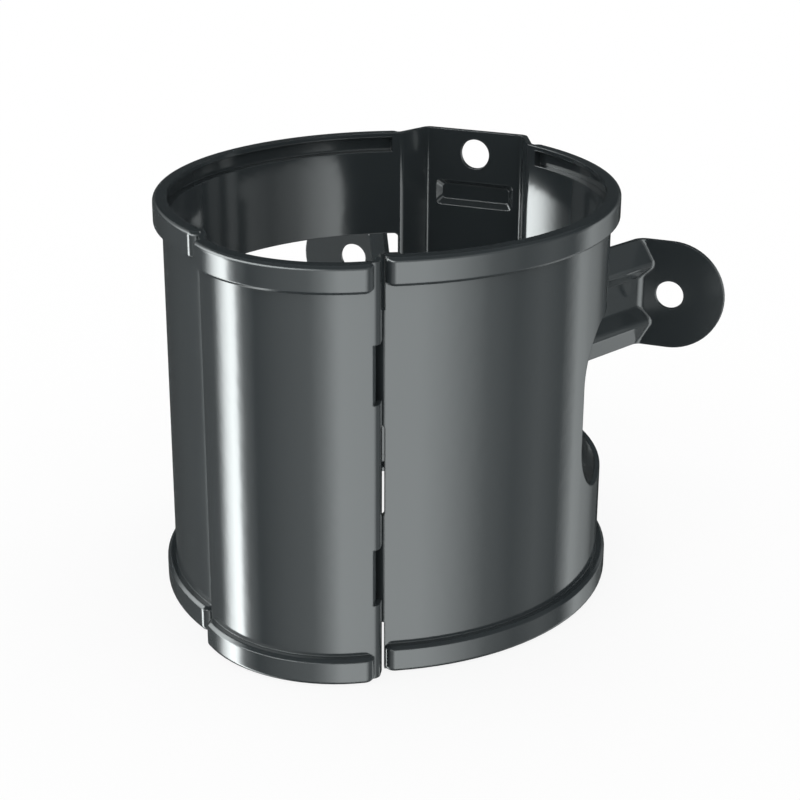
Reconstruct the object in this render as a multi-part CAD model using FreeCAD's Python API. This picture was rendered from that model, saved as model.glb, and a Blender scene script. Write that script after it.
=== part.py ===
"""Wall bracket for a round rainwater downpipe, pressed and folded from one steel sheet.

Two round halves meet in a flat back panel. Their front ends close with a hook and a slot.
A lug is punched out of each side wall and folded back to the wall, which leaves a window.

Frame, in millimetres: Z is the pipe's axis, +Y points at the wall, and z = 0 is mid height.
"""
import FreeCAD, Part
import math
import os
from FreeCAD import Rotation, Vector

# Sheet and band
sheet = 1.0                  # thickness of the steel, everywhere
half_radius = 47.5           # inside radius of each round half
centre_shift = 5.85          # how far each half's centre lies across the middle
band_height = 79.2
fold_radius = 1.0            # inside radius of the upright folds
crisp_radius = 0.5           # inside radius of the folds of the front closure

# Stiffening beads along the top and the bottom edge
bead_out = 1.7               # how far a bead stands out of the wall
bead_height = 5.1
bead_shoulder = 0.9          # outside radius at the rim
bead_bevel = 0.6             # bevel at the bead's other side
bead_gap = 0.4               # plain wall from a bead's round end to the next fold

# Flat back panel
web_angle = 24.8             # degrees round each half, from the back, to the foot of its web
panel_width = 21.4           # between the two folds, on the inside
panel_set_back = 7.1         # from the foot of the webs to the panel's inside
screw_hole = 6.5             # diameter of the hole at the top
screw_hole_drop = 5.1        # from the top edge to that hole's centre
rib_length = 17.6            # pressed rib below the hole
rib_height = 5.6
rib_depth = 1.1
rib_drop = 14.1              # from the top edge to the rib's middle
rib_corner = 1.6

# Windows and lugs
window_height = 34.4
window_front = 97.4          # degrees round each half, from the back, to the window's front end
window_back = 25.8           # degrees round each half, from the back, to its rear end
window_corner = 11.0         # radius of the front corners
relief_corner = 1.0          # radius of the rear corners
root_angle = 29.3            # degrees round each half, from the back, to the fold of the lug
lug_height = 25.1
lug_hole = 6.5
lug_hole_spacing = 78.2      # between the centres of the two lug holes
wall_distance = 75.5         # from the pipe's axis to the wall
pad_length = 7.1             # from the lug's hole to the fold of its neck
pad_fold_radius = 2.0
ridge_height = 3.0           # two hollow ridges pressed along the neck
ridge_level = 6.7            # from the neck's middle to a ridge's crest
ridge_foot = 3.4             # from the neck's middle to a ridge's inner foot
ridge_start = 3.0            # from the lug's root to the ridges
ridge_run = 2.0              # how far they run for each millimetre that they rise at their start
ridge_round = 1.6            # outside radius of their crests
ridge_blend = 0.8            # hollow radius between the ridges and the pad

# Front closure
right_end = 27.7             # degrees round the right half, from the front, to its end
joggle_angle = 29.9          # degrees round the left half, from the front, to the joggle
joggle_run = 2.8             # degrees that the joggle takes to step out
joggle_step = 2.3
cover_rise = 4.4             # how far the cover's middle stands before the halves' meeting line
cover_end_angle = 25.4       # degrees round the right half, from the front, to the cover's edge
cover_end_rise = 3.5         # how far that edge stands out of the right half
flange_depth = 3.1           # inward flange along that edge
flange_lean = 0.5            # how far the flange leans back over that depth
notch_height = 11.0          # two notches in the cover's edge
notch_level = 19.3           # from mid height to the middle of each notch
notch_cut = 0.8              # how far they reach into the cover's face
hook_height = 15.0           # middle tab of the flange, which slants back through the slot
hook_reach = 5.0
hook_lip = 2.2               # lip of the hook behind the tongue
tongue_height = 60.0         # recessed tongue on the right end
tongue_step = 2.3            # how far it steps in
tongue_length = 12.0
tongue_corner = 3.0
slot_height = 18.0           # slot in the tongue
slot_length = 5.0
slot_inset = 0.0             # from the right end's fold to the slot
slot_corner = 1.2

outer_radius = half_radius + sheet
half_height = band_height / 2
overlap = 0.6                # degrees that a strip reaches into the wall that it grows from
spare = 0.2                  # how far a cutting body passes the face that it cuts


def on_half(side, radius, degrees):
    """Plan point on the right (+1) or left (-1) half, in degrees from the front."""
    turn = math.radians(degrees)
    return Vector(side * (radius * math.sin(turn) - centre_shift), -radius * math.cos(turn), 0)


def arc_on_half(side, radius, start, end):
    """Plan arc of one half between two angles from the front."""
    middle = on_half(side, radius, (start + end) / 2)
    return Part.Arc(on_half(side, radius, start), middle, on_half(side, radius, end)).toShape()


def line(start, end):
    return Part.LineSegment(start, end).toShape()


def mirror_left(shape):
    return shape.mirror(Vector(0, 0, 0), Vector(1, 0, 0))


def mirror_down(shape):
    return shape.mirror(Vector(0, 0, 0), Vector(0, 0, 1))


def folded_strip(edges, radii, height, side=1):
    """Sheet that stands on a run of plan edges, folded between them and thickened to one side."""
    run = [edges[0]]
    for edge, radius in zip(edges[1:], radii):
        before = run.pop()
        corner = before.Vertexes[-1].Point
        rounding = Part.ChFi2d.FilletAPI(before, edge, Part.Plane())
        rounding.perform(radius)
        fold, before, after = rounding.result(corner)
        run += [before, fold, after]
    face = Part.Wire(run).makeOffset2D(side * sheet, join=2, fill=True, openResult=True)
    face.translate(Vector(0, 0, -height / 2))
    return face.extrude(Vector(0, 0, height))


def panel_corner(side):
    """Inside corner between the back panel and one of its webs."""
    foot = on_half(side, half_radius, 180 - web_angle)
    return Vector(side * panel_width / 2, foot.y + panel_set_back, 0)


def cover_arc():
    """Inside line of the cover plate, from the joggle round the front to the flange."""
    meeting = math.sqrt(half_radius**2 - centre_shift**2)
    start = on_half(-1, half_radius + joggle_step, joggle_angle - joggle_run)
    middle = Vector(0, -meeting - cover_rise, 0)
    end = on_half(1, half_radius + cover_end_rise, cover_end_angle)
    return Part.Arc(start, middle, end).toShape()


def band():
    """The whole wall but the lugs and the tongue: one strip bent round the pipe."""
    right = arc_on_half(1, half_radius, right_end, 180 - web_angle)
    left = arc_on_half(-1, half_radius, 180 - web_angle, joggle_angle)
    cover = cover_arc()
    edge = cover.Vertexes[-1].Point
    edges = [
        right,
        line(on_half(1, half_radius, 180 - web_angle), panel_corner(1)),
        line(panel_corner(1), panel_corner(-1)),
        line(panel_corner(-1), on_half(-1, half_radius, 180 - web_angle)),
        left,
        line(on_half(-1, half_radius, joggle_angle), cover.Vertexes[0].Point),
        cover,
        line(edge, edge + Vector(-flange_lean, flange_depth - sheet, 0)),
    ]
    outward_fold = fold_radius + sheet
    crisp_fold = crisp_radius + sheet
    radii = [
        outward_fold, fold_radius, fold_radius, outward_fold,
        crisp_fold, crisp_radius, crisp_radius,
    ]
    return folded_strip(edges, radii, band_height)


def bead_profile(radius):
    """Upright section through a bead: its outer body, from inside the wall to the bead's face."""
    inside = radius + sheet / 2
    face = radius + sheet + bead_out
    top = half_height
    low = half_height - bead_height
    turn = bead_shoulder * (1 - math.sqrt(0.5))
    shoulder = Part.Arc(
        Vector(face - bead_shoulder, 0, top),
        Vector(face - turn, 0, top - turn),
        Vector(face, 0, top - bead_shoulder),
    )
    corners = [
        shoulder.EndPoint, Vector(face, 0, low + bead_bevel), Vector(face - bead_bevel, 0, low),
        Vector(inside, 0, low), Vector(inside, 0, top), shoulder.StartPoint,
    ]
    return Part.Face(Part.Wire([shoulder.toShape()] + Part.makePolygon(corners).Edges))


def cavity_profile(radius):
    """Upright section through a bead's cavity, open towards the pipe."""
    face = radius + bead_out
    top = half_height - sheet
    low = half_height - bead_height + sheet
    corners = [
        Vector(radius - spare, 0, low), Vector(face, 0, low),
        Vector(face, 0, top), Vector(radius - spare, 0, top),
    ]
    return Part.Face(Part.makePolygon(corners + corners[:1]))


def turned(shape, centre, degrees):
    """A shape drawn in the XZ plane, set round an upright line at an angle from the front."""
    shape.Placement = FreeCAD.Placement(centre, Rotation(Vector(0, 0, 1), degrees - 90))
    return shape


def bead(centre, radius, start, end):
    """Outer bodies and cavity of a bead along the top edge of an arc, with a round cap at each end."""
    up = Vector(0, 0, 1)
    axis = radius + sheet - spare
    run = turned(bead_profile(radius), centre, start).revolve(centre, up, end - start)
    cavity = turned(cavity_profile(radius), centre, start).revolve(centre, up, end - start)
    outside = Part.makeBox(2 * bead_height, 1, 2 * bead_height)
    outside.translate(Vector(axis, -0.5, half_height - 2 * bead_height))
    section = bead_profile(radius).common(outside).Faces[0]
    caps = []
    for degrees, turn in [(start, -90), (end, 90)]:
        pivot = centre + Rotation(up, degrees).multVec(Vector(0, -axis, 0))
        caps.append(turned(section.copy(), centre, degrees).revolve(pivot, up, turn))
    return [run] + caps, cavity


def angle_about(centre, point):
    """Angle of a plan point about a centre, in degrees from the front."""
    return math.degrees(math.atan2(point.x - centre.x, centre.y - point.y))


def beads():
    """Outer bodies and cavities of all six beads."""
    half_centre = Vector(-centre_shift, 0, 0)
    cap = bead_out + spare
    round_end = math.degrees(cap / outer_radius)
    plain = math.degrees((cap + bead_gap) / outer_radius)
    rear = 180 - web_angle - plain
    right = bead(half_centre, half_radius, right_end + round_end, rear)
    left = bead(half_centre, half_radius, joggle_angle + plain, rear)
    arc = cover_arc()
    middle = arc.Curve.Center
    radius = arc.Curve.Radius
    plain = math.degrees((cap + bead_gap) / (radius + sheet))
    start = angle_about(middle, arc.Vertexes[0].Point) + plain
    end = angle_about(middle, arc.Vertexes[-1].Point) - plain
    cover = bead(middle, radius, start, end)
    outers = right[0] + [mirror_left(body) for body in left[0]] + cover[0]
    cavities = [right[1], mirror_left(left[1]), cover[1]]
    outers += [mirror_down(body) for body in outers]
    cavities += [mirror_down(body) for body in cavities]
    return outers, cavities


def window():
    """Cutting body of the right window: open sideways, with a radial rear end."""
    front = -half_radius * math.cos(math.radians(180 - window_front))
    far = 2 * outer_radius
    block = Part.makeBox(far, far, window_height, Vector(0, front, -window_height / 2))
    front_face = min(block.Faces, key=lambda face: face.CenterOfMass.y)
    level = [edge for edge in front_face.Edges if edge.BoundBox.XLength > spare]
    block = block.makeFillet(window_corner, level)
    plan = [Vector(-centre_shift, 0, 0), on_half(1, far, 180 - window_back), on_half(1, far, 70)]
    sector = Part.Face(Part.makePolygon(plan + plan[:1])).extrude(Vector(0, 0, window_height))
    sector.translate(Vector(0, 0, -window_height / 2))
    rear_face = max(sector.Faces, key=lambda face: face.CenterOfMass.y - abs(face.CenterOfMass.z))
    level = [edge for edge in rear_face.Edges if edge.BoundBox.ZLength < spare]
    return block.common(sector.makeFillet(relief_corner, level))


def rectangle(width, height, depth):
    """Upright rectangle round the Y axis at a depth along it."""
    across, up = width / 2, height / 2
    corners = [
        Vector(-across, depth, -up), Vector(across, depth, -up),
        Vector(across, depth, up), Vector(-across, depth, up),
    ]
    return Part.makePolygon(corners + corners[:1])


def pressing(width, height, depth, slope, corner):
    """Outer body and cavity of a flat-bottomed pressing in a sheet whose face is y = 0."""
    grow = 2 * sheet * math.hypot(1, slope)
    bodies = []
    for extra, start, stop in [(grow, 0, depth + sheet), (0, -spare, depth)]:
        near = rectangle(width + extra - 2 * slope * start, height + extra - 2 * slope * start, start)
        far = rectangle(width + extra - 2 * slope * stop, height + extra - 2 * slope * stop, stop)
        body = Part.makeLoft([near, far], True)
        slanted = [edge for edge in body.Edges if edge.BoundBox.YLength > depth / 2]
        bodies.append(body.makeFillet(corner, slanted))
    return bodies


def neck_ridge(length):
    """Outer body and cavity of the upper ridge, on a neck that runs along X with its face at y = 0."""
    crest = Vector(0, -ridge_height, ridge_level)
    rise = ridge_height + 3 * sheet
    outward = (lug_height / 2 - ridge_level) / ridge_height
    inward = (ridge_level - ridge_foot) / ridge_height
    outer_foot = crest + Vector(0, rise, outward * rise)
    inner_foot = crest + Vector(0, rise, -inward * rise)
    section = Part.makePolygon([crest, outer_foot, inner_foot, crest])
    cavity_start = ridge_start + sheet * math.hypot(1, ridge_run)
    bodies = []
    for wire, start, depth in [
        (section, ridge_start, sheet / 2),
        (section.makeOffset2D(-sheet), cavity_start, 2 * sheet),
    ]:
        above = 2 * ridge_height
        side_view = [
            Vector(start - ridge_run * depth, depth, 0), Vector(start + ridge_run * above, -above, 0),
            Vector(length, -above, 0), Vector(length, depth, 0),
        ]
        run = Part.Face(Part.makePolygon(side_view + side_view[:1])).extrude(Vector(0, 0, lug_height))
        body = Part.Face(wire).extrude(Vector(length, 0, 0)).common(run)
        bodies.append(body)
    outer, cavity = bodies
    raised = [edge for edge in outer.Edges if edge.CenterOfMass.y < -ridge_height / 3]
    along = [edge for edge in raised if edge.BoundBox.XLength > ridge_height]
    along = [edge for edge in along if edge.CenterOfMass.x < length - spare]
    return outer.makeFillet(ridge_round, along), cavity


def is_ridge_end(edge, fold, hole):
    """Whether an edge is where a ridge of the lug runs into its pad."""
    middle = edge.CenterOfMass
    beside = fold.x < middle.x < hole.x - lug_hole / 2 and abs(middle.z) < lug_height / 2 - spare
    return beside and hole.y - sheet < middle.y < hole.y + spare and edge.BoundBox.XLength > spare


def lug():
    """Right lug: a neck with two hollow ridges out to the wall, and a round pad flat against it."""
    root = on_half(1, half_radius, 180 - root_angle)
    hole = Vector(lug_hole_spacing / 2, wall_distance - sheet, 0)
    fold = hole - Vector(pad_length, 0, 0)
    tip = hole + Vector(lug_height / 2, 0, 0)
    rim = arc_on_half(1, half_radius, 180 - window_back + overlap, 180 - root_angle)
    radii = [crisp_radius + sheet, pad_fold_radius]
    strip = folded_strip([rim, line(root, fold), line(fold, tip)], radii, lug_height, -1)

    # The pad's round end
    half = lug_height / 2
    end = Part.makeBox(lug_height, lug_height, lug_height, hole - Vector(0, half, half))
    disc = Part.makeCylinder(half, lug_height, hole - Vector(0, half, 0), Vector(0, 1, 0))
    strip = strip.cut(end.cut(disc))

    # The ridges pressed along the neck, closed by the pad
    neck = fold - root
    lean = math.degrees(math.atan2(neck.y, neck.x))
    outer, cavity = neck_ridge(neck.Length + pad_length)
    room = Part.makeBox(2 * lug_height, hole.y, lug_height, Vector(0, 0, -lug_height / 2))
    for body in (outer, cavity):
        body.Placement = FreeCAD.Placement(root, Rotation(Vector(0, 0, 1), lean))
    outer = outer.common(room)
    cavity = cavity.common(room)
    strip = strip.fuse([outer, mirror_down(outer)]).removeSplitter()
    feet = [edge for edge in strip.Edges if is_ridge_end(edge, fold, hole)]
    strip = strip.makeFillet(ridge_blend, feet)
    return strip.cut([cavity, mirror_down(cavity), wall_hole(lug_hole, hole)])


def wall_hole(diameter, middle):
    """Cutting body of a screw hole that runs along Y."""
    start = middle - Vector(0, 2 * sheet, 0)
    return Part.makeCylinder(diameter / 2, 4 * sheet, start, Vector(0, 1, 0))


def tongue():
    """Recessed tongue of the right end, with the slot that takes the hook."""
    radius = half_radius - tongue_step
    foot = right_end - math.degrees(tongue_step / half_radius)
    tip = foot - math.degrees(tongue_length / radius)
    arc = arc_on_half(1, radius, tip, foot)
    step = line(on_half(1, radius, foot), on_half(1, half_radius, right_end))
    rim = arc_on_half(1, half_radius, right_end, right_end + overlap)
    radii = [crisp_radius + sheet, crisp_radius]
    strip = folded_strip([arc, step, rim], radii, tongue_height)
    tip_face = min(strip.Faces, key=lambda face: face.CenterOfMass.x)
    ends = [edge for edge in tip_face.Edges if edge.BoundBox.ZLength < spare]
    strip = strip.makeChamfer(tongue_corner, ends)

    # The slot, square to the tongue's face
    middle = right_end - math.degrees((slot_inset + slot_length / 2) / outer_radius)
    across = slot_length / 2
    slot = Part.makeBox(slot_length, 9 * sheet, slot_height, Vector(-across, -5 * sheet, -slot_height / 2))
    deep = [edge for edge in slot.Edges if edge.BoundBox.YLength > spare]
    slot = slot.makeFillet(slot_corner, deep)
    slot.Placement = FreeCAD.Placement(on_half(1, radius, middle), Rotation(Vector(0, 0, 1), middle))
    return strip.cut(slot)


def notch():
    """Cutting body of the upper notch in the cover's edge and its flange."""
    edge = cover_arc().Vertexes[-1].Point
    corner = Vector(edge.x + sheet - notch_cut, edge.y - 3 * sheet, notch_level - notch_height / 2)
    body = Part.makeBox(2 * flange_depth, 3 * sheet + flange_depth, notch_height, corner)
    inner_corner = corner + Vector(-2 * sheet, 3 * sheet, 0)
    return body.fuse(Part.makeBox(2 * flange_depth, flange_depth, notch_height, inner_corner))


def hook():
    """Middle tab of the flange, slanted through the slot and turned behind the tongue."""
    edge = cover_arc().Vertexes[-1].Point
    start = edge + Vector(-flange_lean, flange_depth - sheet, 0) * 0.6
    foot = edge + Vector(-flange_lean, flange_depth - sheet, 0)
    back = foot + Vector(-1, 1, 0).normalize() * hook_reach
    tip = back - Vector(hook_lip, 0, 0)
    run = [line(start, foot), line(foot, back), line(back, tip)]
    return folded_strip(run, [crisp_radius, crisp_radius], hook_height)


def back_panel_cuts():
    """Hole and pressed rib at the top of the back panel."""
    face = panel_corner(1).y
    hole = wall_hole(screw_hole, Vector(0, face, half_height - screw_hole_drop))
    outer, cavity = pressing(rib_length, rib_height, rib_depth, 1, rib_corner)
    for body in (outer, cavity):
        body.translate(Vector(0, face, half_height - rib_drop))
    return hole, outer, cavity


def bracket():
    """The whole bracket, folded from one sheet."""
    body = band()
    outers, cavities = beads()
    hole, rib, rib_cavity = back_panel_cuts()
    right_window = window()
    right_lug = lug()
    upper_notch = notch()
    body = body.fuse(outers + [rib])
    body = body.cut(cavities + [rib_cavity, hole, right_window, mirror_left(right_window)])
    body = body.cut([upper_notch, mirror_down(upper_notch)])
    body = body.fuse([right_lug, mirror_left(right_lug), tongue(), hook()])
    return body.removeSplitter()


os.makedirs("parts", exist_ok=True)
shape = bracket()
shape.exportStep("parts/bracket.step")
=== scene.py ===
import bpy
from mathutils import Matrix, Vector


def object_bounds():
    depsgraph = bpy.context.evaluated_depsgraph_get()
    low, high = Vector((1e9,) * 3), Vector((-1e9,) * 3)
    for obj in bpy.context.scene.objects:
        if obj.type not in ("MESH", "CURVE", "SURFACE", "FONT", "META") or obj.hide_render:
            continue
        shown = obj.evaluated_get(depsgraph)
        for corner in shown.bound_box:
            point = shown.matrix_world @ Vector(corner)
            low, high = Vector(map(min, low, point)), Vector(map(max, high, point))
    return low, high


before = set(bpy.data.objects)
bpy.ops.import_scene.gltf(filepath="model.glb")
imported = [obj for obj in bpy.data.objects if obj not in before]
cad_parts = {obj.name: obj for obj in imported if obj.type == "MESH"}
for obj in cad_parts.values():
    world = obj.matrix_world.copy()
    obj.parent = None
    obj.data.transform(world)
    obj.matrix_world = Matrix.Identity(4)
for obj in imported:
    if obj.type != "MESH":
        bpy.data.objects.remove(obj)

cad_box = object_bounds()

# The bracket: one sheet of steel, pressed and folded into a ring with two wall lugs.
# It is finished in anthracite stove enamel, a paint that is sprayed on and baked. That
# makes it smooth and glossy, and the coat rounds the sheared edges of the sheet.


def colour(code):
    """Linear colour with alpha from an sRGB hex code."""
    parts = [int(code[i:i + 2], 16) / 255 for i in (1, 3, 5)]
    return [c / 12.92 if c <= 0.04045 else ((c + 0.055) / 1.055) ** 2.4 for c in parts] + [1.0]


def add(tree, kind, inputs=None, **settings):
    """Adds a node. Each input, by name or number, is a value or another node's output."""
    node = tree.nodes.new(kind)
    for name, value in settings.items():
        setattr(node, name, value)
    for name, value in (inputs or {}).items():
        if isinstance(value, bpy.types.NodeSocket):
            tree.links.new(value, node.inputs[name])
        else:
            node.inputs[name].default_value = value
    return node


enamel = bpy.data.materials.new("anthracite_stove_enamel")
enamel.use_nodes = True
tree = enamel.node_tree
tree.nodes.clear()
place = add(tree, "ShaderNodeTexCoord").outputs["Object"]

# The coat rounds each edge to 0.3 mm, and it flows into a faint ripple as it bakes
edge_round = 0.0003
ripple_width = 0.003
edges = add(tree, "ShaderNodeBevel", {"Radius": edge_round}, samples=6)
ripple = add(tree, "ShaderNodeTexNoise", {
    "Vector": place, "Scale": 1 / ripple_width, "Detail": 1.0,
})
surface = add(tree, "ShaderNodeBump", {
    "Strength": 0.03, "Distance": 0.0005, "Height": ripple.outputs[0], "Normal": edges.outputs[0],
})

# The gloss and the tone change a little over patches of 25 mm, where the spray overlapped
patch_width = 0.025
patches = add(tree, "ShaderNodeTexNoise", {
    "Vector": place, "Scale": 1 / patch_width, "Detail": 3.0,
})
gloss = add(tree, "ShaderNodeMapRange", {
    "Value": patches.outputs[0], "To Min": 0.10, "To Max": 0.14,
})
tone = add(tree, "ShaderNodeValToRGB", {"Fac": patches.outputs[0]})
tone.color_ramp.elements[0].color = colour("#2D3234")
tone.color_ramp.elements[1].color = colour("#313638")
shader = add(tree, "ShaderNodeBsdfPrincipled", {
    "Base Color": tone.outputs[0], "Roughness": gloss.outputs[0], "IOR": 1.5,
    "Normal": surface.outputs[0],
})
add(tree, "ShaderNodeOutputMaterial", {"Surface": shader.outputs[0]})
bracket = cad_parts["bracket"]
bracket.data.materials.clear()
bracket.data.materials.append(enamel)

# The floor: a sheet of matt white card under the ring's bottom rim.
# It looks plain white with a faint shadow, and the gloss above doesn't mirror it.
floor_width = 6.0
ring_bottom = cad_box[0][2]
bpy.ops.mesh.primitive_plane_add(size=floor_width, location=(0, 0, ring_bottom))
floor = bpy.context.object
floor.name = "floor"
floor.visible_glossy = False
card = bpy.data.materials.new("matt_white_card")
card.use_nodes = True
tree = card.node_tree
tree.nodes.clear()
shadowless = 0.85
matt = add(tree, "ShaderNodeBsdfDiffuse", {"Color": colour("#FFFFFF")})
white = add(tree, "ShaderNodeEmission", {"Strength": 1.0})
camera_ray = add(tree, "ShaderNodeLightPath").outputs["Is Camera Ray"]
share = add(tree, "ShaderNodeMath", {0: camera_ray, 1: shadowless}, operation="MULTIPLY")
mix = add(tree, "ShaderNodeMixShader", {
    0: share.outputs[0], 1: matt.outputs[0], 2: white.outputs[0],
})
add(tree, "ShaderNodeOutputMaterial", {"Surface": mix.outputs[0]})
floor.data.materials.append(card)

# The studio: even white light from all round, and the lamps that the gloss mirrors in it.
# They are a tall strip light on the left, a large soft one right of the front, a weak one
# behind on the right and a long one high on the left, with dark walls between them.
studio = bpy.data.worlds.new("studio")
bpy.context.scene.world = studio
studio.use_nodes = True
tree = studio.node_tree
tree.nodes.clear()

# The gloss sees other light than the rest does, so the studio can't be sampled as one lamp
studio.cycles.sampling_method = "NONE"


def along(tree, angle, limit, stops):
    """Strength along an angle within plus or minus limit. A stop is (degrees, strength)."""
    turned = add(tree, "ShaderNodeMapRange", {
        "Value": angle, "From Min": -limit, "From Max": limit,
    })
    node = add(tree, "ShaderNodeValToRGB", {"Fac": turned.outputs[0]})
    elements = node.color_ramp.elements
    while len(elements) < len(stops):
        elements.new(1.0)
    for element, (degrees, strength) in zip(elements, stops):
        element.position = (degrees + limit) / (2 * limit)
        element.color = (strength, strength, strength, 1)
    return node.outputs[0]


# The angle round from the front, plus to the right, and the angle above the horizon
towards = add(tree, "ShaderNodeTexCoord").outputs["Generated"]
axes = add(tree, "ShaderNodeSeparateXYZ", {"Vector": towards})
front = add(tree, "ShaderNodeMath", {0: axes.outputs[1], 1: -1.0}, operation="MULTIPLY")
turn = add(tree, "ShaderNodeMath", {0: axes.outputs[0], 1: front.outputs[0]}, operation="ARCTAN2")
turn = add(tree, "ShaderNodeMath", {0: turn.outputs[0]}, operation="DEGREES").outputs[0]
rise = add(tree, "ShaderNodeMath", {0: axes.outputs[2]}, operation="ARCSINE")
rise = add(tree, "ShaderNodeMath", {0: rise.outputs[0]}, operation="DEGREES").outputs[0]

# The low lamps with the walls between them, and the high lamp, as shares of the brightest
brightest = 16.0
left_wall = [(-170, 0.002), (-125, 0.006)]
strip_light = [
    (-95, 0.018), (-90, 0.06), (-85, 0.25), (-79, 0.62), (-71, 1), (-66, 1), (-62.5, 0.31),
]
front_wall = [(-57, 0.085), (-45, 0.018), (-22, 0.055)]
front_light = [
    (3, 0.085), (13, 0.165), (26, 0.325), (50, 0.305), (60, 0.245), (82, 0.07), (97, 0.03),
]
back_light = [(112, 0.045), (128, 0.015), (141, 0.11), (151, 0.06), (170, 0.008)]
low = along(tree, turn, 180, left_wall + strip_light + front_wall + front_light + back_light)
low_height = along(tree, rise, 90, [(-75, 0), (-40, 1), (2, 1), (14, 0)])
high = along(tree, turn, 180, [
    (-140, 0), (-110, 0.07), (-80, 0.62), (-15, 0.62), (20, 0.12), (90, 0.06), (130, 0),
])
high_height = along(tree, rise, 90, [(8, 0), (16, 1), (32, 1), (40, 0)])

# A Mix node's inputs 6 and 7 are its two colours
dark = (0.006, 0.006, 0.006, 1)
cool_white = colour("#F9FFFF")
lamps = add(tree, "ShaderNodeMix", {0: low_height, 6: dark, 7: low}, data_type="RGBA")
lamps = add(tree, "ShaderNodeMix", {
    0: high_height, 6: lamps.outputs[2], 7: high,
}, data_type="RGBA")
lamps = add(tree, "ShaderNodeMix", {
    0: 1.0, 6: lamps.outputs[2], 7: cool_white,
}, data_type="RGBA", blend_type="MULTIPLY")
mirrored = add(tree, "ShaderNodeBackground", {"Color": lamps.outputs[2], "Strength": brightest})
even = add(tree, "ShaderNodeBackground", {"Color": colour("#FFFFFF"), "Strength": 1.0})
glossy_ray = add(tree, "ShaderNodeLightPath").outputs["Is Glossy Ray"]
mix = add(tree, "ShaderNodeMixShader", {
    0: glossy_ray, 1: even.outputs[0], 2: mirrored.outputs[0],
})
add(tree, "ShaderNodeOutputWorld", {"Surface": mix.outputs[0]})

# The camera of the photograph: a long lens, to the right of the closure and a little above.
# Its place and its directions are those that bring the CAD's outline onto the photograph's.
eye = Vector((0.12772, -0.31807, 0.12949))
ahead = Vector((-0.34088, 0.86676, -0.36402)).normalized()
right = Vector((0.92994, 0.36769, 0.00466))
right = (right - ahead * right.dot(ahead)).normalized()
up = right.cross(ahead)
camera = bpy.data.objects.new("camera", bpy.data.cameras.new("camera"))
bpy.context.scene.collection.objects.link(camera)
camera.matrix_world = Matrix((
    (right.x, up.x, -ahead.x, eye.x),
    (right.y, up.y, -ahead.y, eye.y),
    (right.z, up.z, -ahead.z, eye.z),
    (0, 0, 0, 1),
))
camera.data.lens = 82.5
camera.data.sensor_width = 36
camera.data.clip_start = 0.01
bpy.context.scene.camera = camera
bpy.context.scene.view_settings.view_transform = "Standard"
